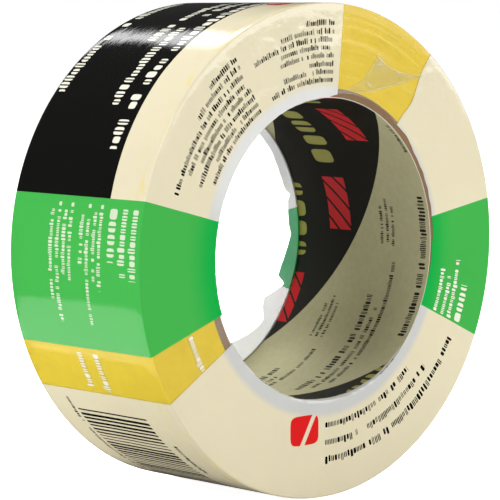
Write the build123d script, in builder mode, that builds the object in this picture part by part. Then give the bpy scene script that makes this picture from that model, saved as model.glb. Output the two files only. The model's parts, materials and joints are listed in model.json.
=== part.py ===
from build123d import *
from math import cos, pi, radians, sin, sqrt
import os

# A roll of masking tape on a paperboard core, wrapped in printed shrink film.
# The roll stands on its tread. Its axis is Y, the printed face looks towards -Y,
# and the origin is the middle of the core's bore. Millimetres. Angles are measured
# from +X towards +Z, as seen from the printed face.

# Core: a tube of paper plies, each wound in a helix over the one below
bore_radius = 38.1
liner_thickness = 0.3
body_ply_thickness = 0.45
body_ply_count = 4
face_ply_thickness = 0.3
seam_pitch = 155.0
seam_gap = 0.3
liner_seam_angle = 131.0
seam_stagger = 67.0

# Tape: one strip wound on the core
roll_width = 48.0
tape_length = 55000.0
tape_thickness = 0.122
free_end_angle = 63.0

# Shrink film: a sleeve over the tread and both faces, its edges shrunk into the bore
film_thickness = 0.1
lip_depth = 1.6
opening_radius = 38.3
opening_shift = 1.4
front_opening_angle = 50.0
rear_opening_angle = 205.0
lap_start_angle = 54.0
lap_end_angle = 82.0

front_end = Plane.XZ.offset(roll_width / 2)
rear_end = Plane.XZ.offset(-roll_width / 2)

os.makedirs("parts", exist_ok=True)


def save(part, name):
    """Label a finished piece and write it out under its own name."""
    part.label = name
    export_step(part, f"parts/{name}.step")


def direction(angle):
    """The unit vector at an angle in a sketch on the roll's faces."""
    return Vector(cos(radians(angle)), sin(radians(angle)))


def wound_ply(inner_radius, thickness, seam_angle):
    """A paper strip wound into a tube, its two edges butted along a helix."""
    with BuildPart() as ply:
        with BuildSketch(front_end):
            Circle(inner_radius + thickness)
            Circle(inner_radius, mode=Mode.SUBTRACT)
        extrude(amount=-roll_width)
        with BuildSketch(front_end, mode=Mode.PRIVATE) as seam:
            with PolarLocations(inner_radius + thickness / 2, 1, start_angle=seam_angle):
                Rectangle(2 * thickness, seam_gap)
        seam_twist = 360 * roll_width / seam_pitch
        seam_slit = Solid.extrude_linear_with_rotation(
            seam.sketch.face(), front_end.origin, (0, roll_width, 0), seam_twist
        )
        add(seam_slit, mode=Mode.SUBTRACT)
    return ply.part


# Core plies, from the bore outwards
save(wound_ply(bore_radius, liner_thickness, liner_seam_angle), "core_liner")

body_radius = bore_radius + liner_thickness
for number in range(1, body_ply_count + 1):
    inner_radius = body_radius + (number - 1) * body_ply_thickness
    seam_angle = liner_seam_angle + number * seam_stagger
    save(wound_ply(inner_radius, body_ply_thickness, seam_angle), f"core_ply_{number}")

face_ply_radius = body_radius + body_ply_count * body_ply_thickness
face_ply_seam = liner_seam_angle + (body_ply_count + 1) * seam_stagger
save(wound_ply(face_ply_radius, face_ply_thickness, face_ply_seam), "core_face_ply")

# Tape: the strip's length and thickness set how far the winding grows. Its outline is
# the last turn, a spiral of four quarter arcs about the corners of a small square, and
# it closes at the strip's free end with a step of one thickness.
core_radius = face_ply_radius + face_ply_thickness
winding_radius = sqrt(core_radius**2 + tape_length * tape_thickness / pi) + tape_thickness / 2
quarter_step = tape_thickness / 4

with BuildPart() as tape_winding:
    with BuildSketch(front_end):
        with BuildLine() as last_turn:
            corner = (direction(free_end_angle) - direction(free_end_angle + 90)) * (quarter_step / 2)
            for quarter in range(4):
                start_angle = free_end_angle + 90 * quarter
                arc_radius = winding_radius - quarter_step / 2 - quarter * quarter_step
                CenterArc((corner.X, corner.Y), arc_radius, start_angle, 90)
                corner += direction(start_angle + 90) * quarter_step
            Line(last_turn.edges()[-1] @ 1, last_turn.edges()[0] @ 0)
        make_face()
        Circle(core_radius, mode=Mode.SUBTRACT)
    extrude(amount=-roll_width)
save(tape_winding.part, "tape_winding")

# Shrink film: a channel section turned about the roll's axis. Each face is opened by an
# off-centre hole, so that the edge folds into the bore on one side of the core and stops
# short of it on the other. The film's two ends are lapped across the tread.
film_radius = winding_radius + film_thickness
film_half_width = roll_width / 2 + film_thickness
lip_radius = bore_radius - film_thickness
lip_end = film_half_width - lip_depth

with BuildPart() as wrap_film:
    with BuildSketch(Plane.XY):
        with BuildLine():
            Polyline(
                (lip_radius, -lip_end),
                (lip_radius, -film_half_width),
                (film_radius, -film_half_width),
                (film_radius, film_half_width),
                (lip_radius, film_half_width),
                (lip_radius, lip_end),
                (bore_radius, lip_end),
                (bore_radius, roll_width / 2),
                (winding_radius, roll_width / 2),
                (winding_radius, -roll_width / 2),
                (bore_radius, -roll_width / 2),
                (bore_radius, -lip_end),
                close=True,
            )
        make_face()
    revolve(axis=Axis.Y)
    for face_plane, opening_angle in (
        (front_end.offset(film_thickness), front_opening_angle),
        (rear_end.offset(-film_thickness), rear_opening_angle),
    ):
        inward = -lip_depth if face_plane.origin.Y < 0 else lip_depth
        opening_centre = direction(opening_angle) * opening_shift
        with BuildSketch(face_plane):
            with Locations((opening_centre.X, opening_centre.Y)):
                Circle(opening_radius)
        extrude(amount=inward, mode=Mode.SUBTRACT)
    with BuildSketch(front_end.offset(film_thickness)):
        with BuildLine():
            lap_arc = lap_end_angle - lap_start_angle
            under = CenterArc((0, 0), film_radius, lap_start_angle, lap_arc)
            over = CenterArc((0, 0), film_radius + film_thickness, lap_start_angle, lap_arc)
            Line(under @ 0, over @ 0)
            Line(under @ 1, over @ 1)
        make_face()
    extrude(amount=-2 * film_half_width)
save(wrap_film.part, "wrap_film")
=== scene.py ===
import json
from math import cos, pi, radians, sin

import bpy
import numpy as np
from bpy.props import FloatProperty, FloatVectorProperty, IntProperty, PointerProperty
from mathutils import Matrix, Vector


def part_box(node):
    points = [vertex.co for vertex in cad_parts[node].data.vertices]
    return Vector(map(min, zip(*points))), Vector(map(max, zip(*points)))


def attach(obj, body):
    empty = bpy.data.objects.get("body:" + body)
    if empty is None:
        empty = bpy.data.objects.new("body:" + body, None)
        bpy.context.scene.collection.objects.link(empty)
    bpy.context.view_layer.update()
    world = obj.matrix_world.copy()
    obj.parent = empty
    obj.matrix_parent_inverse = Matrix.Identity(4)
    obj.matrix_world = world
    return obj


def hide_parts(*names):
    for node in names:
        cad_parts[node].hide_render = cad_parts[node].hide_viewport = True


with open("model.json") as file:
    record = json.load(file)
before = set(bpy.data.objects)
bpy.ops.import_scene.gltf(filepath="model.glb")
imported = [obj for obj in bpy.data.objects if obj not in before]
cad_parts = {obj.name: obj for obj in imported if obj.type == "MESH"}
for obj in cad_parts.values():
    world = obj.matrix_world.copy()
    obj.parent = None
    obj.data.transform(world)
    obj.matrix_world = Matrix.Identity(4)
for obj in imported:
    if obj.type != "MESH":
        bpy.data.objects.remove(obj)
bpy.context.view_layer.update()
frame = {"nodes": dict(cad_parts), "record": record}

bl_info = {
    "name": "Wrapped masking tape roll",
    "version": (1, 0, 0),
    "blender": (4, 5, 0),
    "location": "3D View > Sidebar > Tape roll",
    "description": "Paperboard core, tape winding and printed shrink film for a roll of masking tape",
    "category": "Add Mesh",
}

MM = 0.001
BODY = "root"

# In metres
FLOOR_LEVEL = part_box("wrap_film")[0].z
FLOOR_SIZE = 60.0

# Sizes that come from the frame, in millimetres. The roll's axis is Y, its printed face is at
# -Y, and angles run from +X towards +Z as seen from that face.
FILM_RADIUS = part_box("wrap_film")[1].z / MM
HALF_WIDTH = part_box("wrap_film")[1].y / MM
TAPE_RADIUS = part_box("tape_winding")[1].z / MM
TAPE_HALF_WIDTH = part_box("tape_winding")[1].y / MM
CORE_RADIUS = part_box("core_face_ply")[1].z / MM
LINER_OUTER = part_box("core_liner")[1].z / MM
BODY_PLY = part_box("core_ply_1")[1].z / MM - LINER_OUTER
BORE_RADIUS = next(m for m in frame["record"]["mounts"] if m["name"] == "core_bore")["dims"]["r_mm"]


def paint(red, green, blue):
    """A colour given as it looks on a screen, 0 to 255, turned into the linear values shaders take."""
    def linear(level):
        level /= 255
        return level / 12.92 if level <= 0.04045 else ((level + 0.055) / 1.055) ** 2.4
    return linear(red), linear(green), linear(blue)


def size_setting(name, description, value, unit="LENGTH"):
    return FloatProperty(name=name, description=description, default=value, unit=unit, precision=5)


def colour_setting(name, description, *levels):
    return FloatVectorProperty(
        name=name, description=description, default=paint(*levels), size=3, subtype="COLOR", min=0, max=1
    )


# ---------------------------------------------------------------- settings


class CoreSettings(bpy.types.PropertyGroup):
    kraft: colour_setting("Kraft board", "Colour of the core's board plies", 142, 110, 77)
    cut_edge: colour_setting("Cut edge", "Colour of the liner's cut end", 225, 222, 210)
    dark_band: colour_setting("Dark band", "Dark ink on the liner", 34, 32, 27)
    pale_band: colour_setting("Pale band", "Bare stretches of the liner's print", 190, 186, 148)
    red_ink: colour_setting("Red ink", "Red marks on the liner", 204, 26, 34)
    olive_ink: colour_setting("Olive ink", "Olive marks on the liner", 158, 156, 78)
    turns: IntProperty(name="Facets", description="Steps round the tube", default=256, min=32)


class WindingSettings(bpy.types.PropertyGroup):
    yellow: colour_setting("Tape", "Colour of the tape's backing", 250, 226, 32)
    edge_yellow: colour_setting("Tape edge", "Colour of the wound edges", 249, 221, 72)
    crepe_pitch: size_setting("Crepe pitch", "Distance between the crepe's ridges", 0.7 * MM)
    turn_pitch: size_setting("Turn pitch", "Thickness of one turn", 0.122 * MM)
    turns: IntProperty(name="Facets", description="Steps round the winding", default=256, min=32)


class FilmSettings(bpy.types.PropertyGroup):
    thickness: size_setting("Thickness", "Wall of the film", 0.07 * MM)
    wrinkle: size_setting("Wrinkle depth", "Depth of the waves that shrinking leaves", 0.06 * MM)
    cream: colour_setting("Cream", "White ink over the tape", 238, 228, 196)
    show_through: colour_setting("Show-through", "Tape showing through the white ink", 242, 222, 140)
    # The margin colour is the film's unprinted white painted grey, as painted shade. The lighter margin
    # colour after it is painted light, for the upper side where more light reaches it.
    margin: colour_setting("Margin", "White ink over the core's board", 213, 213, 210)
    painted_lit_margin: colour_setting("Thin margin", "White ink where light comes through", 232, 232, 228)
    green: colour_setting("Green", "Green panels", 72, 186, 82)
    deep_green: colour_setting("Deep green", "Green ink near the core", 24, 180, 74)
    black: colour_setting("Black", "Black panel on the tread", 18, 18, 17)
    white_ink: colour_setting("White ink", "Marks on the black and green panels", 246, 244, 226)
    red_ink: colour_setting("Red ink", "Red badge", 232, 34, 34)
    haze: colour_setting("Haze", "Bare film", 232, 232, 222)
    clear_over_tape: colour_setting("Clear film", "Bare film over the tape", 242, 219, 76)
    hanging: colour_setting("Hanging film", "White film that hangs free inside the bore", 238, 240, 240)
    # Painted light: the hanging green is painted lighter than the green panels, for light coming through the
    # film. The glow makes the hanging film give off painted light, though it is no lamp.
    painted_backlit_green: colour_setting("Hanging green", "Green film that hangs free", 116, 214, 160)
    glow: FloatProperty(name="Glow", description="Light through the hanging film", default=0.2, min=0)
    turns: IntProperty(name="Facets", description="Steps round the film", default=400, min=64)


class StageSettings(bpy.types.PropertyGroup):
    azimuth: size_setting("Azimuth", "Camera's turn about the roll", radians(-43.8), "ROTATION")
    elevation: size_setting("Elevation", "Camera's height above the horizon", radians(5.3), "ROTATION")
    distance: size_setting("Distance", "From the camera to the middle of the roll", 0.6541)
    lens: FloatProperty(name="Lens", description="Focal length", default=184.7, unit="CAMERA")
    shift: FloatVectorProperty(name="Shift", description="Lens shift", default=(-0.0186, -0.0094), size=2)
    floor: colour_setting("Floor", "Pale floor", 250, 250, 250)
    ambient: FloatProperty(name="Ambient", description="Light from all round", default=0.09, min=0)
    floor_glow: FloatProperty(name="Floor glow", description="Light from below", default=0.05, min=0)


# ---------------------------------------------------------------- shader arithmetic


class Socket:
    """A shader's output that takes part in ordinary arithmetic."""

    def __init__(self, shade, output):
        self.shade = shade
        self.output = output

    def math(self, operation, *values):
        return self.shade.node("ShaderNodeMath", {"operation": operation}, dict(enumerate(values)))

    def __add__(self, other):
        return self.math("ADD", self, other)

    def __radd__(self, other):
        return self.math("ADD", other, self)

    def __sub__(self, other):
        return self.math("SUBTRACT", self, other)

    def __rsub__(self, other):
        return self.math("SUBTRACT", other, self)

    def __mul__(self, other):
        return self.math("MULTIPLY", self, other)

    def __rmul__(self, other):
        return self.math("MULTIPLY", other, self)

    def __truediv__(self, other):
        return self.math("DIVIDE", self, other)

    def __rtruediv__(self, other):
        return self.math("DIVIDE", other, self)

    def __pow__(self, other):
        return self.math("POWER", self, other)

    def __gt__(self, other):
        return self.math("GREATER_THAN", self, other)

    def __lt__(self, other):
        return self.math("LESS_THAN", self, other)

    def __abs__(self):
        return self.math("ABSOLUTE", self)


class Shade:
    """A material or a sky whose nodes are written as expressions."""

    def __init__(self, name, owner=None):
        self.material = owner or bpy.data.materials.new(name)
        self.material.use_nodes = True
        self.tree = self.material.node_tree
        self.tree.nodes.clear()

    def node(self, kind, settings=None, sockets=None, output=0):
        """Adds a node, sets it up, fills its sockets with values or links, and returns one output
        or, for None, all of them."""
        made = self.tree.nodes.new(kind)
        for name, value in (settings or {}).items():
            if name == "steps":
                self.set_steps(made.color_ramp, value)
            else:
                setattr(made, name, value)
        for name, value in (sockets or {}).items():
            self.fill(made.inputs[name], value)
        outputs = [Socket(self, socket) for socket in made.outputs]
        return outputs if output is None else outputs[output] if outputs else made

    def set_steps(self, ramp, steps):
        """Gives a ramp a flat step from each place to the next, with three numbers for a colour."""
        ramp.interpolation = "CONSTANT"
        while len(ramp.elements) > 1:
            ramp.elements.remove(ramp.elements[-1])
        ramp.elements[0].position = steps[0][0]
        ramp.elements[0].color = (*steps[0][1], 1)
        for place, numbers in steps[1:]:
            ramp.elements.new(place).color = (*numbers, 1)

    def fill(self, socket, value):
        if isinstance(value, Socket):
            self.tree.links.new(value.output, socket)
        elif socket.type == "RGBA":
            socket.default_value = (*value, 1)
        else:
            socket.default_value = value

    def surface(self, **sockets):
        """Ends the material with the main shader, its sockets named with underscores."""
        values = {name.replace("_", " "): value for name, value in sockets.items()}
        skin = self.node("ShaderNodeBsdfPrincipled", sockets=values)
        self.node("ShaderNodeOutputMaterial", sockets={0: skin})
        return self.material

    def place(self):
        """X, Y and Z on the piece, in millimetres."""
        at = self.node("ShaderNodeTexCoord", output=3)
        scaled = self.node("ShaderNodeVectorMath", {"operation": "SCALE"}, {0: at, "Scale": 1 / MM})
        return self.node("ShaderNodeSeparateXYZ", sockets={0: scaled}, output=None)

    def vector(self, x, y, z):
        return self.node("ShaderNodeCombineXYZ", sockets={0: x, 1: y, 2: z})

    def mix(self, factor, low, high):
        """Blends two colours."""
        return self.node("ShaderNodeMix", {"data_type": "RGBA"}, {0: factor, 6: low, 7: high}, 2)

    def blend(self, factor, low, high):
        """Blends two numbers."""
        return self.node("ShaderNodeMix", {"data_type": "FLOAT"}, {0: factor, 2: low, 3: high})

    def tint(self, colour, strength):
        """Multiplies a colour by a number."""
        return self.node("ShaderNodeVectorMath", {"operation": "SCALE"}, {0: colour, "Scale": strength})

    def noise(self, at, scale=1.0, detail=2.0, rough=0.5):
        return self.node(
            "ShaderNodeTexNoise", sockets={"Vector": at, "Scale": scale, "Detail": detail, "Roughness": rough}
        )

    def ramp(self, value, low, high):
        """Goes smoothly from 0 at low to 1 at high."""
        return self.node(
            "ShaderNodeMapRange", {"interpolation_type": "SMOOTHSTEP"}, {0: value, 1: low, 2: high}
        )

    def bump(self, height, distance, strength=1.0):
        return self.node(
            "ShaderNodeBump", sockets={"Height": height, "Distance": distance, "Strength": strength}
        )


def within(value, low, high):
    """1 where a value lies between two others, and 0 elsewhere."""
    return (value > low) * (value < high)


def around(shade, first_angle):
    """The angle about the roll's axis in degrees, from first_angle up, the radius, and X, Y and Z."""
    x, y, z = shade.place()
    angle = x.math("ARCTAN2", z, x) * (180 / pi)
    past = angle - first_angle
    turn = past.math("FLOORED_MODULO", past, 360.0) + first_angle
    radius = (x * x + z * z) ** 0.5
    return turn, radius, x, y, z


def printed_rows(shade, turn, across, rows, about=None, spacing=1.0):
    """Finds the row of small print that a point is on. A row is (middle, half its height, first
    angle, last angle). Its length is measured at a radius: about, or the row's own. Gives the
    cover, the place across the row from -1 to 1, the place along it in dabs, and its number."""
    rows = sorted(rows)
    low, high = rows[0][0] - 3.0, rows[-1][0] + 3.0
    joins = [0.0] + [((a[0] + b[0]) / 2 - low) / (high - low) for a, b in zip(rows, rows[1:])]
    at = (across - low) * (1 / (high - low))
    sizes = [(row[0] - low, row[1], number + 1.0) for number, row in enumerate(rows)]
    spans = [
        (row[2] + 360, row[3] + 360, (about or row[0]) * pi / 180 / (row[1] * spacing)) for row in rows
    ]
    middle, half, line = shade.node(
        "ShaderNodeSeparateXYZ",
        sockets={0: shade.node("ShaderNodeValToRGB", {"steps": list(zip(joins, sizes))}, {0: at})},
        output=None,
    )
    first, last, dabs = shade.node(
        "ShaderNodeSeparateXYZ",
        sockets={0: shade.node("ShaderNodeValToRGB", {"steps": list(zip(joins, spans))}, {0: at})},
        output=None,
    )
    level = (across - low - middle) / half
    cover = (abs(level) < 1.0) * within(turn + 360.0, first, last)
    return cover, level * cover, (turn + 360.0 - first) * dabs * cover, line * cover


def together(blocks):
    """Blocks of rows that don't overlap, as one."""
    first, *rest = blocks
    for block in rest:
        first = [a + b for a, b in zip(first, block)]
    return first


def marks(shade, rows, short=0.5):
    """Rounded dabs of ink in word-like groups, which stand for small print and spell nothing. Most
    reach only as far up the row as short."""
    cover, level, along, line = rows
    cell = along.math("FLOOR", along)
    spot = along.math("FRACT", along)
    dice = shade.node(
        "ShaderNodeTexWhiteNoise", {"noise_dimensions": "2D"}, {"Vector": shade.vector(cell, line, 0.0)}, 1
    )
    word, tall, deep = shade.node("ShaderNodeSeparateXYZ", sockets={0: dice}, output=None)
    top = (tall > 0.62) * (0.95 - short) + short
    bottom = (deep < 0.15) * -0.2 - 0.75
    middle, reach = (top + bottom) * 0.5, (top - bottom) * 0.5
    width = deep * 0.14 + 0.3
    round_ink = (abs(spot - 0.48) / width) ** 4.0 + (abs(level - middle) / reach) ** 4.0
    split = (word > 0.5) * (abs(spot - 0.48) < 0.09)
    return cover * (word > 0.14) * (round_ink < 1.0) * (1 - split)


# ---------------------------------------------------------------- mesh tools


def select_only(piece=None):
    """Leaves one piece selected, or nothing, so that what comes next is worked on alone."""
    if bpy.context.object and bpy.context.object.mode != "OBJECT":
        bpy.ops.object.mode_set(mode="OBJECT")
    bpy.ops.object.select_all(action="DESELECT")
    if piece:
        piece.select_set(True)
        bpy.context.view_layer.objects.active = piece


def added(name):
    """The object that an operator has just added, named."""
    piece = bpy.context.object
    piece.name = name
    if piece.data.name != name:
        piece.data.name = name
    return piece


def points_of(piece):
    """A piece's points, in millimetres."""
    found = np.empty(len(piece.data.vertices) * 3)
    piece.data.vertices.foreach_get("co", found)
    return found.reshape(-1, 3) / MM


def set_points(piece, places):
    piece.data.vertices.foreach_set("co", (places * MM).ravel())
    piece.data.update()


def spun(name, outline, turns, closed):
    """Turns an outline of (radius, y) points, in millimetres, about the roll's axis."""
    select_only()
    bpy.ops.mesh.primitive_plane_add(size=MM, location=(0, 0, 0))
    piece = added(name)
    bpy.ops.object.mode_set(mode="EDIT")
    bpy.ops.mesh.select_all(action="SELECT")
    bpy.ops.mesh.merge(type="CENTER")
    stops = [Vector((radius, y, 0)) * MM for radius, y in outline]
    bpy.ops.transform.translate(value=stops[0])
    for here, there in zip(stops, stops[1:]):
        bpy.ops.mesh.extrude_vertices_move(TRANSFORM_OT_translate={"value": there - here})
    bpy.ops.mesh.select_all(action="SELECT")
    if closed:
        bpy.ops.mesh.edge_face_add()
        bpy.ops.mesh.delete(type="ONLY_FACE")
        bpy.ops.mesh.select_all(action="SELECT")
    bpy.ops.mesh.spin(steps=turns, angle=2 * pi, center=(0, 0, 0), axis=(0, 1, 0))
    bpy.ops.mesh.select_all(action="SELECT")
    bpy.ops.mesh.remove_doubles(threshold=0.002 * MM)
    bpy.ops.mesh.normals_make_consistent(inside=False)
    bpy.ops.object.mode_set(mode="OBJECT")
    return piece


def finish_piece(piece, material, *nodes, slot):
    """Shades a piece smooth between its edges, dresses it, and ties it to the frame."""
    select_only(piece)
    bpy.ops.object.shade_smooth_by_angle(angle=radians(35))
    piece.data.materials.clear()
    piece.data.materials.append(material)
    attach(piece, BODY)
    if nodes:
        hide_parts(*nodes)


# ---------------------------------------------------------------- core


# Columns of print on the liner, across the strip as it was printed: each column lies
# COLUMN_STEP further along the tube and COLUMN_TURN degrees back from the last.
COLUMN_STEP = 16.0
COLUMN_TURN = -41.0
# Degrees that the dark bands go back for each millimetre along the tube
BAND_TURN = 2.35

# Rows of a column: y, half the height, first angle, last angle
BADGES = [(8.3, 4.1, 2, 24), (-24.0, 4.1, -111, -89)]
OLIVE_WORDS = [(8.3, 4.2, 30, 68), (-24.0, 4.2, -83, -46)]
LINER_LINES = [
    (-5.7, 1.3, -80, -23),
    (-9.0, 0.9, -77, -28),
    (-11.6, 0.9, -69, -9),
    (-7.0, 0.65, -3, 13),
    (-9.0, 0.65, -3, 16),
    (-11.0, 0.65, -3, 13),
]


def columns(rows, numbers):
    """The same rows in several columns of the print."""
    return [
        (y + COLUMN_STEP * n, half, first + COLUMN_TURN * n, last + COLUMN_TURN * n)
        for n in numbers
        for y, half, first, last in rows
    ]


def liner_material(core):
    shade = Shade("printed_liner_paper")
    turn, radius, x, y, z = around(shade, -150.0)
    band = turn + y * BAND_TURN + 120.0
    band = band.math("FLOORED_MODULO", band, 360.0) - 120.0
    dark = within(band, 6.5, 97.0) + within(band, 164.0, 240.0) + (band < -106.0)
    badge_rows = together(
        [
            printed_rows(shade, turn, y, columns(BADGES[:1], (-2, -1, 0, 1)), BORE_RADIUS),
            printed_rows(shade, turn, y, columns(BADGES[1:], (0, 1, 2)), BORE_RADIUS),
        ]
    )
    slant = badge_rows[1] * 0.9 - badge_rows[2] * 0.9
    stripe = slant.math("FLOORED_MODULO", slant, 1.1) > 0.2
    red = badge_rows[0] * stripe * (abs(badge_rows[1]) < 0.96)
    olive = marks(
        shade,
        together(
            [
                printed_rows(shade, turn, y, columns(OLIVE_WORDS[:1], (-2, -1, 0, 1)), BORE_RADIUS, 1.3),
                printed_rows(shade, turn, y, columns(OLIVE_WORDS[1:], (0, 1, 2)), BORE_RADIUS, 1.3),
            ]
        ),
        short=0.9,
    )
    black = marks(
        shade,
        together(
            [
                printed_rows(shade, turn, y, columns(LINER_LINES[:3], (-1, 0, 1)), BORE_RADIUS, 0.75),
                printed_rows(shade, turn, y, columns(LINER_LINES[3:], (-1, 0, 1)), BORE_RADIUS, 0.75),
            ]
        ),
        short=0.65,
    )
    at = shade.vector(x, y, z)
    grain = shade.noise(at, 0.55, 5.0, 0.65)
    paper = shade.mix(black * (1 - dark), core.pale_band, core.dark_band)
    paper = shade.mix(dark, paper, core.dark_band)
    paper = shade.mix(red * dark, paper, core.red_ink)
    paper = shade.mix(olive * dark, paper, core.olive_ink)
    paper = shade.mix(radius < BORE_RADIUS + 0.08, core.cut_edge, paper)
    return shade.surface(
        Base_Color=shade.tint(paper, grain * 0.3 + 0.85),
        Roughness=grain * 0.18 + 0.5,
        Specular_IOR_Level=0.25,
        Normal=shade.bump(shade.noise(at, 1.6, 4.0, 0.7), 0.03 * MM, 0.7),
    )


def kraft_material(core):
    shade = Shade("kraft_board")
    turn, radius, x, y, z = around(shade, -180.0)
    fibre = shade.noise(shade.vector(turn * 0.35, y * 2.0, radius * 5.0), 1.2, 5.0, 0.7)
    fleck = shade.noise(shade.vector(x, y, z), 3.2, 3.0, 0.6)
    ply = (radius - LINER_OUTER) * (1 / BODY_PLY)
    line = (ply.math("FRACT", ply) < 0.12) * 0.2
    return shade.surface(
        Base_Color=shade.tint(core.kraft, fibre * 0.55 + 0.72 - (fleck > 0.66) * 0.22 - line),
        Roughness=0.88,
        Normal=shade.bump(fibre + fleck * 0.4, 0.05 * MM, 0.8),
    )


class TAPE_OT_core(bpy.types.Operator):
    """Makes the printed liner of the core and gives the board plies their finish"""

    bl_idname = "tape.core"
    bl_label = "Paperboard core"

    def execute(self, context):
        core = context.scene.tape_core
        end = TAPE_HALF_WIDTH
        bevel = 0.06
        outline = [
            (BORE_RADIUS + bevel, -end),
            (LINER_OUTER - bevel, -end),
            (LINER_OUTER - 0.01, -end + bevel),
            (LINER_OUTER - 0.01, end - bevel),
            (LINER_OUTER - bevel, end),
            (BORE_RADIUS + bevel, end),
            (BORE_RADIUS, end - bevel),
            *((BORE_RADIUS, end - bevel - step * (2 * end - 2 * bevel) / 12) for step in range(1, 12)),
            (BORE_RADIUS, -end + bevel),
        ]
        liner = spun("core_liner_paper", outline, core.turns, closed=True)
        finish_piece(liner, liner_material(core), "core_liner", slot="printed_paper")
        kraft = kraft_material(core)
        for name, node in frame["nodes"].items():
            if name.startswith("core_ply") or name == "core_face_ply":
                node.material_slots[0].material = kraft
        return {"FINISHED"}


# ---------------------------------------------------------------- tape


# Where the strip's free end leaves a step in the last turn, by angle
FREE_END = 63.0


def tape_material(winding):
    shade = Shade("crepe_paper_tape")
    turn, radius, x, y, z = around(shade, -180.0)
    on_edge = abs(y) > TAPE_HALF_WIDTH - 0.25
    around_mm = turn * (pi / 180 * TAPE_RADIUS)
    crepe = shade.noise(shade.vector(around_mm * (MM / winding.crepe_pitch), y * 0.12, 0.0), 1.0, 3.0, 0.6)
    pitch = winding.turn_pitch / MM
    rings = shade.noise(shade.vector(radius * (0.35 / pitch), turn * 0.02, y * 0.01), 1.0, 4.0, 0.75)
    blotch = shade.noise(shade.vector(x, y, z), 0.12, 3.0, 0.5)
    # The colour darkens where the crepe and the wound rings sit low, as painted shade in their hollows. The
    # blotches are the tape's own uneven tone.
    height = shade.blend(on_edge, crepe, rings)
    colour = shade.mix(on_edge, winding.yellow, winding.edge_yellow)
    return shade.surface(
        Base_Color=shade.tint(colour, height * 0.26 + blotch * 0.12 + 0.8),
        Roughness=0.5,
        Coat_Weight=0.7,
        Coat_Roughness=0.06,
        Normal=shade.bump(height, 0.06 * MM, 0.6),
    )


class TAPE_OT_winding(bpy.types.Operator):
    """Winds the tape: stepped edges where turns stand proud, and the strip's free end"""

    bl_idname = "tape.winding"
    bl_label = "Tape winding"

    def execute(self, context):
        winding = context.scene.tape_winding
        end = TAPE_HALF_WIDTH
        ledges, ledge_depth = 44, 0.06
        sway = np.random.default_rng(7).uniform(0.0, ledge_depth, (2, ledges + 1))
        inner, outer = CORE_RADIUS + 0.01, TAPE_RADIUS - 0.06
        radii = np.linspace(inner, outer, ledges + 1)
        front = [(radii[n], -end + sway[0][n]) for n in range(ledges + 1)]
        back = [(radii[n], end - sway[1][n]) for n in range(ledges, -1, -1)]
        tread = [(outer + 0.05, y) for y in np.linspace(-end + 0.12, end - 0.12, 13)]
        piece = spun("wound_tape", front + tread + back, winding.turns, closed=True)
        places = points_of(piece)
        angle = np.degrees(np.arctan2(places[:, 2], places[:, 0]))
        reach = np.hypot(places[:, 0], places[:, 2])
        step = winding.turn_pitch / MM * (((angle - FREE_END) % 360) / 360 - 0.5)
        share = np.clip((reach - outer + 1.0) / 1.0, 0, 1)
        scale = 1 - step * share / reach
        places[:, 0] *= scale
        places[:, 2] *= scale
        set_points(piece, places)
        finish_piece(piece, tape_material(winding), "tape_winding", slot="yellow_crepe_tape")
        return {"FINISHED"}


# ---------------------------------------------------------------- film


# The band of the sleeve that shrinking pulls inwards: the radius where it starts, and its edge's
LIP_START = 46.0
LIP_EDGE = 38.2
# How tightly the film folds at the bore's corner
FOLD_RADIUS = 0.5

# The panels of the film's print, by angle
GREEN_PANEL = (165.3, 200.0)
OPPOSITE_GREEN_PANEL = (-24.7, 9.8)
LABEL_WINDOW = (200.0, 212.2)
WINDOW_END = 84.5
BLACK_PANEL = (84.5, 165.3)
BAR_BLOCK = (217.5, 262.0)
# The bars' two ends, across the tread
BAR_REACH = (-11.0, 14.5)

# Where the film's inner edge ends round the printed face: how far it goes past the bore's
# corner, in millimetres, by angle. Below nought it stops short and leaves the board bare.
FRONT_EDGE = [
    (-180, 1.9), (-150, 2.4), (-120, 2.6), (-90, 2.2), (-60, 1.3), (-40, 0.9), (-22, 0.4), (-10, -0.05),
    (0, -0.3), (10, -0.75), (20, -0.95), (30, -1.0), (40, -1.1), (50, -1.35), (62, -1.5), (75, -1.35),
    (84, -0.7), (88, 0.1), (100, 1.0), (120, 1.5), (150, 1.6), (180, 1.9),
]
# How far in from the bore's wall the fold stands, by angle
FRONT_FOLD = [
    (-180, 0.85), (-158, 0.75), (-152, 0.25), (-146, 0.7), (-120, 1.0), (-95, 1.0), (-75, 0.6), (-58, 0.1),
    (-40, 0), (80, 0), (90, 0.1), (120, 0.35), (160, 0.75), (180, 0.85),
]
# The radius that the film's edge stands in to at the back, by angle
REAR_EDGE = [
    (-180, 36.5), (-150, 35.0), (-120, 36.2), (-90, 33.8), (-64, 32.0), (-55, 33.0), (-47, 34.0),
    (-43, 34.5), (-37, 32.8), (-33, 32.5), (-29, 33.7), (-25, 35.3), (-23, 35.7), (-21, 33.4),
    (-15.6, 33.2), (-8, 33.9), (-1.6, 35.0), (4, 34.6), (9, 34.7), (13.9, 35.1), (15.8, 36.2),
    (18.5, 34.9), (22, 34.2), (28, 34.1), (35, 34.5), (40, 35.1), (60, 36.0), (90, 35.0), (120, 36.4),
    (150, 35.4), (180, 36.5),
]
# The wall of the film's folded corner, in millimetres
LAP_WALL = 0.05
# Creases that shrinking left on the printed face: x, z at both ends, width and height
CREASES = [
    (24.0, 40.3, 27.3, 38.2, 0.5, 0.22),
    (25.4, 41.2, 29.1, 37.6, 0.45, 0.25),
    (29.1, 37.6, 30.6, 35.8, 0.4, 0.18),
    (15.2, 38.9, 18.0, 38.1, 0.4, 0.12),
    (34.5, 42.6, 43.4, 44.5, 0.25, 0.14),
    (-41.0, 13.5, -49.0, 12.0, 1.2, 0.12),
    (-44.0, 5.0, -55.0, 3.0, 1.5, 0.10),
]
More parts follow.
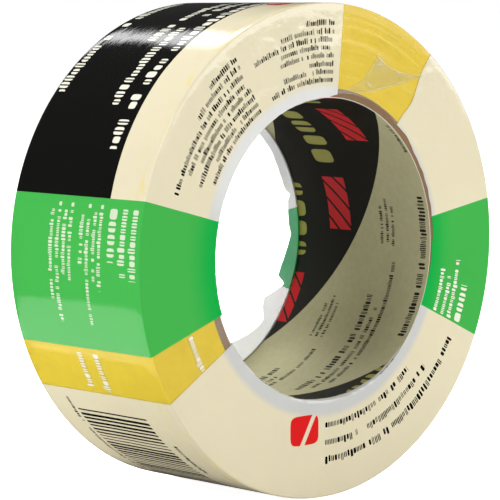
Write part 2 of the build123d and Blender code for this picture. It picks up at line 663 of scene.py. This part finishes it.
# The two long edges of the film's folded corner: x, z
LAP_LOWER = [(3.9, 39.2), (8.1, 39.0), (14.6, 39.3), (17.5, 39.7), (22.4, 40.4), (27.3, 41.3), (34.5, 42.7)]
LAP_UPPER = [
    (3.9, 39.6), (8.1, 40.4), (12.6, 42.1), (14.8, 44.1), (17.1, 46.6), (18.3, 48.3), (21.0, 46.2),
    (25.5, 44.2), (29.9, 43.4), (34.5, 43.1),
]

# Small print: how far out on the face or across the tread, half its height, and its first and
# last angle. Each list is a block whose rows don't overlap.
FACE_PRINT = [
    [
        (57.2, 0.87, 122.5, 133.5), (55.0, 0.9, 122.5, 141.5), (52.6, 0.87, 122.3, 162.0),
        (50.4, 0.87, 122.3, 155.3), (48.3, 0.87, 122.3, 150.5), (46.2, 0.87, 122.3, 157.0),
        (44.2, 0.83, 122.3, 147.0), (42.3, 0.83, 122.3, 154.0),
    ],
    [
        (56.7, 0.87, 87.3, 97.5), (54.6, 0.87, 87.3, 107.0), (52.6, 0.87, 87.3, 118.0),
        (50.7, 0.83, 87.3, 108.8), (48.7, 0.83, 87.3, 109.3), (46.6, 0.83, 87.3, 97.5),
        (44.7, 0.83, 87.3, 109.3), (42.7, 0.87, 87.3, 116.3),
    ],
]
FACE_TITLES = [
    [(52.3, 1.15, -90.5, -29.2), (48.0, 1.1, -90.5, -41.6), (43.6, 1.05, -90.5, -47.3)],
    [(49.3, 1.0, -24.2, -6.3), (46.7, 0.95, -24.2, -11.0), (43.8, 0.95, -24.2, -9.2)],
    [(49.0, 1.15, 200.6, 211.8)],
]
FACE_NUMBER = [[(53.1, 1.9, -24.2, -13.4)]]
TREAD_TITLES = [
    [(-7.4, 2.0, 86.0, 154.0), (-0.9, 1.9, 86.0, 143.5), (4.3, 1.8, 86.0, 123.5), (21.7, 1.9, 86.0, 139.8)],
]
TREAD_PRINT = [
    [
        (-21.3, 1.5, 167.3, 183.0), (-17.6, 1.5, 167.3, 186.0),
        (-9.3, 0.85, 168.5, 186.0), (-7.2, 0.85, 168.5, 184.0), (-4.8, 0.85, 168.5, 194.0),
        (-2.6, 0.85, 168.5, 180.5), (1.6, 0.85, 168.5, 185.0), (3.8, 0.85, 168.5, 183.0),
        (6.2, 0.85, 168.5, 194.0), (8.6, 0.85, 168.5, 189.0),
    ],
    [(-2.7, 1.5, 201.2, 211.3), (3.3, 1.5, 201.2, 210.3)],
    [(-14.2, 1.0, 227.0, 239.5), (16.2, 0.8, 215.0, 262.0)],
]
TREAD_NUMBER = [[(-13.4, 2.1, 167.3, 179.3)]]
# Bullets before four of the rows: y, angle
BULLETS = [(-9.3, 167.3), (-4.8, 167.3), (1.6, 167.3), (6.2, 167.3)]
# Added to the radius on the back, which takes it past every row, so that the back has none
PAST_PRINT = 100.0


def lozenge(u, v, half_wide, half_high):
    """A rounded block: 1 inside it."""
    return ((abs(u) / half_wide) ** 5.0 + (abs(v) / half_high) ** 5.0) < 1.0


def badge(u, v, half_wide, half_high):
    """A plain badge: a rounded block with one slanting pale stripe."""
    stripe = within(u - v * 0.6, half_wide * 0.12, half_wide * 0.42)
    return lozenge(u, v, half_wide, half_high) * (1 - stripe)


def film_material(film):
    shade = Shade("printed_shrink_film")
    turn, radius, x, y, z = around(shade, -95.0)
    on_tread = radius > FILM_RADIUS - 0.25
    on_face = 1 - on_tread
    front = on_face * (y < 0.0)
    across = shade.blend(on_tread, radius + (y > 0.0) * PAST_PRINT, y)
    at = shade.vector(x, y, z)

    bend_out = shade.ramp(radius, 47.0, 57.0) * 2.1
    bend_in = (1 - shade.ramp(radius, 41.0, 46.5)) * 0.7
    window_start = bend_out + 49.8 + bend_in
    window = within(turn, *LABEL_WINDOW) + within(turn, window_start, WINDOW_END)
    green = within(turn, *GREEN_PANEL) + within(turn, *OPPOSITE_GREEN_PANEL)
    black = on_tread * within(turn, *BLACK_PANEL) * (y + turn * 0.031 > -6.5)
    # Painted light: the margin is painted lighter from about 62 to 175 degrees, where more light falls on it.
    painted_lit_margin = shade.ramp(turn, 62.0, 95.0) * (1 - shade.ramp(turn, 150.0, 175.0))
    thin_margin = within(turn, -24.0, 56.0) * 0.9
    past_core = shade.ramp(radius + thin_margin, CORE_RADIUS - 0.5, CORE_RADIUS + 1.7)
    over_core = on_face * (1 - past_core)
    near_core = on_face * (1 - shade.ramp(radius, CORE_RADIUS - 2.0, CORE_RADIUS + 7.0))
    patchy = shade.ramp(shade.noise(shade.vector(turn * 0.5, y, radius * 0.5), 0.45, 4.0, 0.65), 0.52, 0.66)
    near_rim = 1 - shade.ramp(y, -21.0, -15.0)

    paper = shade.mix(patchy * on_tread * near_rim * 0.6, film.cream, film.show_through)
    # A faint greyish patch on the face near 110 degrees, blended towards the margin colour.
    grey_patch = lozenge(turn - 109.6 - (radius - 45.0) * 0.1, radius - 45.5, 1.3, 4.2) * on_face * patchy
    paper = shade.mix(grey_patch * 0.35, paper, film.margin)
    # The margin over the core: white film painted grey as painted shade, and lighter on the upper side as
    # painted light.
    paper = shade.mix(over_core, paper, shade.mix(painted_lit_margin, film.margin, film.painted_lit_margin))
    paper = shade.mix(green, paper, shade.mix(near_core, film.green, film.deep_green))
    paper = shade.mix(black, paper, film.black)

    blocks = [printed_rows(shade, turn, across, block, spacing=0.8) for block in FACE_PRINT]
    blocks += [printed_rows(shade, turn, across, block) for block in FACE_TITLES]
    blocks += [printed_rows(shade, turn, across, block, spacing=1.45) for block in FACE_NUMBER]
    blocks += [printed_rows(shade, turn, across, block, FILM_RADIUS, 1.2) for block in TREAD_TITLES]
    blocks += [printed_rows(shade, turn, across, block, FILM_RADIUS) for block in TREAD_PRINT]
    blocks += [printed_rows(shade, turn, across, block, FILM_RADIUS, 1.45) for block in TREAD_NUMBER]
    print_ink = marks(shade, together(blocks))
    for bullet_y, bullet_turn in BULLETS:
        print_ink = lozenge(turn - bullet_turn, y - bullet_y, 0.45, 0.5) * on_tread + print_ink

    code = turn * (0.69 * pi / 180 * FILM_RADIUS)
    dice = shade.node("ShaderNodeTexWhiteNoise", {"noise_dimensions": "1D"}, {"W": code.math("FLOOR", code)})
    bar = code.math("FRACT", code) < dice * 0.5 + 0.22
    bars = within(turn, *BAR_BLOCK) * within(y, *BAR_REACH) * on_tread * bar
    reversed_out = black.math("MAXIMUM", green.math("MAXIMUM", green, window), black)
    ink_colour = shade.mix(reversed_out, film.black, film.white_ink)
    paper = shade.mix(print_ink * (1 - green * on_tread * 0.25), paper, ink_colour)
    paper = shade.mix(bars, paper, film.black)

    red = badge(x + 7.6, z + 44.0, 4.9, 3.7) * front
    red_tread = badge((turn - 92.0) * 1.075, y + 14.2, 7.0, 3.5) * on_tread
    paper = shade.mix(red + red_tread, paper, film.red_ink)

    clear = window * (1 - print_ink)
    over_tape = radius > CORE_RADIUS
    hanging = (radius < BORE_RADIUS - 0.4) * (y > 0.0)
    milky = shade.noise(at, 0.22, 4.0, 0.6)
    paper = shade.mix(clear, paper, shade.mix(over_tape, film.haze, film.clear_over_tape))
    # Painted light: the film hanging in the bore is painted in lighter, backlit colours.
    painted_backlit_paper = shade.mix(green, film.hanging, film.painted_backlit_green)
    paper = shade.mix(hanging, paper, painted_backlit_paper)
    see_through = clear * (0.86 - milky * 0.12 + (1 - over_tape) * 0.11)
    see_through = shade.blend(hanging, see_through, 0.42 - milky * 0.12 - green * 0.25)

    scuff = shade.noise(shade.vector(turn * 0.055, y * 1.3, radius * 0.2), 1.0, 4.0, 0.65)
    ripple = shade.noise(shade.vector(turn * 0.17, y * 0.9, radius * 0.9), 1.0, 3.0, 0.55)
    face_ripple = shade.noise(at, 0.35, 3.0, 0.5) * (hanging * 5 + 1)
    soft = shade.noise(at, 0.06, 3.0, 0.5)
    return shade.surface(
        Base_Color=shade.tint(paper, soft * 0.1 + 0.95),
        Roughness=scuff * 0.08 + 0.03,
        Alpha=1 - see_through,
        Normal=shade.bump(shade.blend(on_tread, face_ripple, ripple * 0.55), 0.11 * MM, 0.9),
        # Painted light: the hanging film glows with its own backlit colour.
        Emission_Color=shade.mix(hanging, (0, 0, 0), painted_backlit_paper),
        Emission_Strength=film.glow,
        Specular_IOR_Level=0.4,
    )


def lap_material(film):
    shade = Shade("clear_film_lap")
    flat_place = shade.node("ShaderNodeTexCoord", output=2)
    u, v, _ = shade.node("ShaderNodeSeparateXYZ", sockets={0: flat_place}, output=None)
    crinkle = shade.noise(shade.vector(*shade.place()), 0.35, 4.0, 0.6)
    # Painted highlights: the lap's edges are painted in the white ink's colour and made less clear. Pale
    # patches where it crinkles stand in for the light that clear film catches.
    edge = 1 - shade.ramp(v.math("MINIMUM", v, 1 - v), 0.0, 0.06)
    painted_crinkle_highlight = shade.ramp(crinkle, 0.56, 0.72)
    return shade.surface(
        Base_Color=shade.mix(edge, film.haze, film.white_ink),
        Roughness=0.16,
        Alpha=edge * 0.3 + painted_crinkle_highlight * 0.22 + u * 0.04 + 0.04,
        Normal=shade.bump(crinkle, 0.25 * MM, 0.7),
    )


def waves(places, rng, count, shortest, longest):
    """A smooth random field over points, about -1 to 1: a sum of plane waves."""
    total = np.zeros(len(places))
    for _ in range(count):
        heading = rng.normal(size=3)
        heading *= 2 * pi / (np.linalg.norm(heading) * rng.uniform(shortest, longest))
        total += np.sin(places @ heading + rng.uniform(0, 2 * pi))
    return total / np.sqrt(count)


def shape_film(piece):
    """Moves the spun sleeve's points to where shrinking leaves them."""
    rng = np.random.default_rng(11)
    places = points_of(piece)
    turn = np.degrees(np.arctan2(places[:, 2], places[:, 0]))
    radius = np.hypot(places[:, 0], places[:, 2])
    y = places[:, 1].copy()
    circle = np.stack([np.cos(np.radians(turn)), np.zeros_like(turn), np.sin(np.radians(turn))], 1)

    ring = circle * 38.0
    ragged = 0.16 * waves(ring, rng, 12, 2.5, 7.0)
    fold = FOLD_RADIUS
    corner = BORE_RADIUS - 0.02 + fold - np.interp(turn, *zip(*FRONT_FOLD))
    straight = LIP_START - corner
    lip = radius < LIP_START
    share = np.clip((LIP_START - radius) / (LIP_START - LIP_EDGE), 0, 1)

    front = lip & (y < 0)
    past = np.interp(turn, *zip(*FRONT_EDGE)) + ragged
    scallop = np.where((turn > 165) | (turn < -160), 0.25 * np.sin(np.radians(turn) * 50), 0)
    run = share * (straight + past + scallop)
    bend = np.clip((run - straight) / fold, 0, pi / 2)
    down = np.clip(run - straight - fold * pi / 2, 0, None)
    front_radius = np.where(run < straight, LIP_START - run, corner - fold * np.sin(bend))
    front_y = -HALF_WIDTH + fold * (1 - np.cos(bend)) + down
    lift = down * 0.05 * (1 + waves(ring, rng, 6, 8.0, 20.0))
    radius = np.where(front, front_radius - lift, radius)
    y = np.where(front, front_y, y)

    rear = lip & (places[:, 1] > 0)
    edge = np.interp(turn, *zip(*REAR_EDGE)) + ragged * 0.6
    rear_radius = LIP_START - share * (LIP_START - edge)
    free = np.clip(BORE_RADIUS + 0.5 - rear_radius, 0, None)
    flutter = waves(ring, rng, 8, 9.0, 26.0)
    rear_y = HALF_WIDTH + free**2 * 0.035 * (1.0 + 0.8 * flutter) + free * 0.06 * flutter
    radius = np.where(rear, rear_radius, radius)
    y = np.where(rear, rear_y, y)

    moved = np.stack([circle[:, 0] * radius, y, circle[:, 2] * radius], 1)
    swell = np.clip(waves(moved, rng, 30, 7, 24), 0, None)
    depth = bpy.context.scene.tape_film.wrinkle / MM
    on_face = np.clip((FILM_RADIUS - 1.0 - radius) / 2, 0, 1) * np.clip((radius - 41.0) / 3, 0, 1)
    on_tread = (radius > FILM_RADIUS - 0.05) * np.clip((HALF_WIDTH - 1.0 - abs(y)) / 3, 0, 1)
    y += np.sign(y) * swell * depth * on_face
    radius += swell * depth * 0.6 * on_tread

    places = circle * radius[:, None]
    places[:, 1] = y
    for x0, z0, x1, z1, width, height in CREASES:
        start_point, along = np.array([x0, z0]), np.array([x1 - x0, z1 - z0])
        flat = places[:, [0, 2]]
        part = np.clip((flat - start_point) @ along / (along @ along), 0, 1)
        away = np.linalg.norm(flat - start_point - part[:, None] * along, axis=1)
        rise = height * np.exp(-((away / width) ** 2)) * (1 - 0.7 * (2 * part - 1) ** 4)
        places[:, 1] -= np.where((y < 0) & (radius > CORE_RADIUS - 2), rise, 0)
    set_points(piece, places)


class TAPE_OT_film(bpy.types.Operator):
    """Shrinks the printed film over the tread and both faces"""

    bl_idname = "tape.film"
    bl_label = "Shrink film"

    def execute(self, context):
        film = context.scene.tape_film
        rim = 0.45
        lip_stops = np.linspace(LIP_EDGE, LIP_START, 19)
        face_stops = np.linspace(LIP_START, FILM_RADIUS - rim, 11)[1:]
        rim_turns = np.radians(np.linspace(0, 90, 5))[1:-1]
        half = [(r, -HALF_WIDTH) for r in (*lip_stops, *face_stops)]
        half += [
            (FILM_RADIUS - rim + rim * sin(a), -HALF_WIDTH + rim - rim * cos(a)) for a in rim_turns
        ]
        tread = [(FILM_RADIUS, y) for y in np.linspace(-HALF_WIDTH + rim, HALF_WIDTH - rim, 25)]
        outline = half + tread + [(r, -y) for r, y in reversed(half)]
        piece = spun("shrink_film", outline, film.turns, closed=False)
        self.face_out(piece)
        self.keep_flat_place(piece)
        shape_film(piece)
        self.thicken(piece, film.thickness)
        self.lay_out_bake(piece)
        finish_piece(piece, film_material(film), "wrap_film", slot="printed_film")
        self.make_lap(film)
        return {"FINISHED"}

    def face_out(self, piece):
        """Turns the sleeve's faces away from the tape."""
        face = max(piece.data.polygons, key=lambda p: p.center.x)
        if face.normal.x < 0:
            piece.data.flip_normals()

    def keep_flat_place(self, piece):
        """Stores each point's place on the flat film: its angle, and how far across it is."""
        places = points_of(piece)
        turn = np.degrees(np.arctan2(places[:, 2], places[:, 0])) % 360
        radius = np.hypot(places[:, 0], places[:, 2])
        inward = FILM_RADIUS - radius
        across = HALF_WIDTH + places[:, 1] + np.sign(places[:, 1]) * inward + (FILM_RADIUS - LIP_EDGE)
        for name, values in (("flat_turn", turn), ("flat_across", across)):
            attribute = piece.data.attributes.new(name, "FLOAT", "POINT")
            attribute.data.foreach_set("value", values)

    def thicken(self, piece, thickness):
        select_only(piece)
        wall = piece.modifiers.new("Wall", "SOLIDIFY")
        wall.thickness = thickness
        wall.offset = -1
        wall.material_offset = 1
        piece.data.materials.append(None)
        piece.data.materials.append(None)
        bpy.ops.object.modifier_apply(modifier=wall.name)

    def lay_out_bake(self, piece):
        """Lays the film's outside flat in two half turns, and its inside in two small ones."""
        mesh = piece.data
        turn = np.empty(len(mesh.vertices))
        across = np.empty(len(mesh.vertices))
        mesh.attributes["flat_turn"].data.foreach_get("value", turn)
        mesh.attributes["flat_across"].data.foreach_get("value", across)
        corners = np.empty(len(mesh.loops), int)
        mesh.loops.foreach_get("vertex_index", corners)
        sides = np.empty(len(mesh.polygons), int)
        counts = np.empty(len(mesh.polygons), int)
        mesh.polygons.foreach_get("material_index", sides)
        mesh.polygons.foreach_get("loop_total", counts)
        owner = np.repeat(np.arange(len(counts)), counts)
        turns = turn[corners]
        first = turns[np.concatenate([[0], np.cumsum(counts)[:-1]])][owner]
        turns = np.where(turns - first > 180, turns - 360, np.where(first - turns > 180, turns + 360, turns))
        middle = np.bincount(owner, turns) / counts
        second = (middle % 360 > 180)[owner]
        turns = np.where(middle[owner] > 360, turns - 360, np.where(middle[owner] < 0, turns + 360, turns))
        share = across[corners] / (2 * (FILM_RADIUS - LIP_EDGE) + 2 * HALF_WIDTH)
        inside = (sides > 0)[owner]
        u = (turns - 180 * second) / 180
        band = np.where(inside, 0.1, 0.4)
        base = np.where(inside, 0.8 + 0.1 * second, 0.4 * second)
        v = base + band * (0.02 + 0.96 * share)
        layer = mesh.uv_layers.new(name="OFBake")
        layer.uv.foreach_set("vector", np.stack([0.01 + 0.98 * u, v], 1).ravel())
        mesh.polygons.foreach_set("material_index", np.zeros(len(counts), int))
        mesh.attributes.remove(mesh.attributes["flat_turn"])
        mesh.attributes.remove(mesh.attributes["flat_across"])

    def make_lap(self, film):
        """Lays the folded corner of the film's lapped end over the clear window."""
        select_only()
        bpy.ops.mesh.primitive_grid_add(x_subdivisions=60, y_subdivisions=14, size=2 * MM)
        piece = added("film_lap")
        places = points_of(piece)
        u, v = (places[:, 0] + 1) / 2, (places[:, 1] + 1) / 2
        lower, upper = (self.curve(points, u) for points in (LAP_LOWER, LAP_UPPER))
        flat = lower * (1 - v)[:, None] + upper * v[:, None]
        width = np.linalg.norm(upper - lower, axis=1)
        rng = np.random.default_rng(3)
        spread = np.stack([flat[:, 0], flat[:, 1], 0 * u], 1)
        rise = 0.1 + 0.045 * width * np.sin(pi * v) * (1 + 0.5 * waves(spread, rng, 8, 3, 8))
        set_points(piece, np.stack([flat[:, 0], -HALF_WIDTH - rise, flat[:, 1]], 1))
        bpy.ops.object.mode_set(mode="EDIT")
        bpy.ops.mesh.select_all(action="SELECT")
        bpy.ops.mesh.normals_make_consistent(inside=False)
        bpy.ops.object.mode_set(mode="OBJECT")
        if piece.data.polygons[0].normal.y > 0:
            piece.data.flip_normals()
        wall = piece.modifiers.new("Wall", "SOLIDIFY")
        wall.thickness = LAP_WALL * MM
        wall.offset = -1
        bpy.ops.object.modifier_apply(modifier=wall.name)
        finish_piece(piece, lap_material(film), "wrap_film", slot="printed_film")

    def curve(self, points, share):
        """Points along a line through a few, by the share of its length."""
        knots = np.array(points)
        length = np.concatenate([[0], np.cumsum(np.linalg.norm(np.diff(knots, axis=0), axis=1))])
        at = share * length[-1]
        return np.stack([np.interp(at, length, knots[:, n]) for n in (0, 1)], 1)


# ---------------------------------------------------------------- stage


def floor_material(stage):
    shade = Shade("pale_floor")
    dapple = shade.noise(shade.vector(*shade.place()), 0.02, 3.0, 0.5)
    seen = shade.node("ShaderNodeLightPath")
    return shade.surface(
        Base_Color=shade.tint(stage.floor, dapple * 0.02 + 0.98),
        Roughness=0.7,
        Emission_Color=shade.tint(stage.floor, shade.blend(seen, stage.floor_glow, 1.0)),
        Emission_Strength=1.0,
    )


def back(azimuth, elevation):
    """The direction from the roll towards someone at an azimuth and elevation."""
    return Vector((sin(azimuth) * cos(elevation), -cos(azimuth) * cos(elevation), sin(elevation)))


class TAPE_OT_stage(bpy.types.Operator):
    """Sets the floor, the soft lights and the camera"""

    bl_idname = "tape.stage"
    bl_label = "Stage"

    def execute(self, context):
        stage = context.scene.tape_stage
        select_only()
        bpy.ops.mesh.primitive_plane_add(size=FLOOR_SIZE, location=(0, 0, FLOOR_LEVEL))
        floor = added("floor")
        bpy.ops.object.transform_apply(location=True, rotation=True, scale=True)
        floor.data.materials.append(floor_material(stage))
        floor.visible_glossy = False
        self.place_lights()
        self.light_the_sky(context.scene)
        self.place_camera(context.scene)
        return {"FINISHED"}

    def place_lights(self):
        """The lights mirrored in the tread, the one that shines into the bore, and the soft ones."""
        across, level = (0.911, 0, -0.412), (0.7, 0.7, 0)
        self.softbox("streak_light", (0.286, 0.719, 0.634), across, 1.0, (0.095, 0.8), 0.95)
        self.softbox("short_streak_light", (0.275, 0.590, 0.786), across, 1.02, (0.055, 0.43), 0.3)
        bore_light = self.softbox("bore_light", (0.25, 0.62, 0.745), across, 1.0, (0.2, 0.8), 7.5)
        bore_light.visible_glossy = False
        self.softbox("key_light", (-0.45, -0.55, 0.72), (0.7, -0.7, 0), 1.6, (0.7, 0.7), 5.9)
        self.softbox("fill_light", (0.75, -0.8, 0.35), level, 1.8, (1.4, 1.0), 16.5)
        self.softbox("side_light", (-0.80, 0.12, 0.70), (0, 1, 0), 1.6, (0.8, 0.8), 14.5)
        low_light = self.strip("low_light", (-0.0806, -0.0586), (-0.1223, -0.0430), (-0.012, 0.110), 0.028)
        low_light.visible_diffuse = False

    def light_the_sky(self, scene):
        """White for the camera, and dim for everything that the sky lights or is mirrored in."""
        stage = scene.tape_stage
        world = bpy.data.worlds.new("studio")
        scene.world = world
        sky = Shade("studio", world)
        seen = sky.node("ShaderNodeLightPath")
        glossy = sky.node("ShaderNodeLightPath", output=3)
        strength = sky.blend(seen, sky.blend(glossy, stage.ambient, stage.ambient * 0.5), 1.0)
        white = sky.node("ShaderNodeBackground", sockets={0: (1, 1, 1), 1: strength})
        sky.node("ShaderNodeOutputWorld", sockets={0: white})
        scene.view_settings.view_transform = "Standard"

    def place_camera(self, scene):
        stage = scene.tape_stage
        towards = back(stage.azimuth, stage.elevation)
        bpy.ops.object.camera_add(location=towards * stage.distance)
        camera = bpy.context.object
        camera.rotation_euler = towards.to_track_quat("Z", "Y").to_euler()
        camera.data.lens = stage.lens
        camera.data.sensor_width = 36.0
        camera.data.shift_x, camera.data.shift_y = stage.shift
        camera.data.clip_start = 0.01
        camera.data.clip_end = 100.0
        scene.camera = camera

    def strip(self, name, left, right, reach, watts):
        """A low strip of light lying along the roll's axis, from one (x, z) edge to the other."""
        (x0, z0), (x1, z1), (y0, y1) = left, right, reach
        middle = Vector(((x0 + x1) / 2, (y0 + y1) / 2, (z0 + z1) / 2))
        wide = Vector((x1 - x0, 0, z1 - z0))
        return self.lamp(name, middle, wide.normalized(), Vector((0, 1, 0)), (wide.length, y1 - y0), watts)

    def softbox(self, name, direction, wide_along, distance, size, watts):
        """An area light that looks at the roll, its width laid along a given direction."""
        towards = Vector(direction).normalized()
        wide = Vector(wide_along)
        wide = (wide - towards * wide.dot(towards)).normalized()
        return self.lamp(name, towards * distance, wide, towards.cross(wide), size, watts)

    def lamp(self, name, middle, wide, high, size, watts):
        """A rectangular area light with its two sides along given directions."""
        bpy.ops.object.light_add(type="AREA", location=middle)
        lamp = added(name)
        lamp.rotation_euler = Matrix((wide, high, wide.cross(high))).transposed().to_euler()
        lamp.data.shape = "RECTANGLE"
        lamp.data.size, lamp.data.size_y = size
        lamp.data.energy = watts
        lamp.visible_camera = False
        return lamp


# ---------------------------------------------------------------- panel


class TAPE_PT_panel(bpy.types.Panel):
    """Lists the steps that make the roll"""

    bl_label = "Tape roll"
    bl_idname = "TAPE_PT_panel"
    bl_space_type = "VIEW_3D"
    bl_region_type = "UI"
    bl_category = "Tape roll"

    def draw(self, context):
        for step in STEPS:
            self.layout.operator(step.bl_idname)
        for group in ("tape_core", "tape_winding", "tape_film", "tape_stage"):
            settings = getattr(context.scene, group)
            for name in settings.__annotations__:
                self.layout.prop(settings, name)


GROUPS = {
    "tape_core": CoreSettings,
    "tape_winding": WindingSettings,
    "tape_film": FilmSettings,
    "tape_stage": StageSettings,
}
STEPS = (TAPE_OT_stage, TAPE_OT_core, TAPE_OT_winding, TAPE_OT_film)


def register():
    for kind in (*GROUPS.values(), *STEPS, TAPE_PT_panel):
        bpy.utils.register_class(kind)
    for name, kind in GROUPS.items():
        setattr(bpy.types.Scene, name, PointerProperty(type=kind))


def unregister():
    for name in GROUPS:
        delattr(bpy.types.Scene, name)
    for kind in reversed((*GROUPS.values(), *STEPS, TAPE_PT_panel)):
        bpy.utils.unregister_class(kind)


def main():
    register()
    bpy.ops.tape.stage()
    bpy.ops.tape.core()
    bpy.ops.tape.winding()
    bpy.ops.tape.film()


if __name__ == "__main__":
    main()
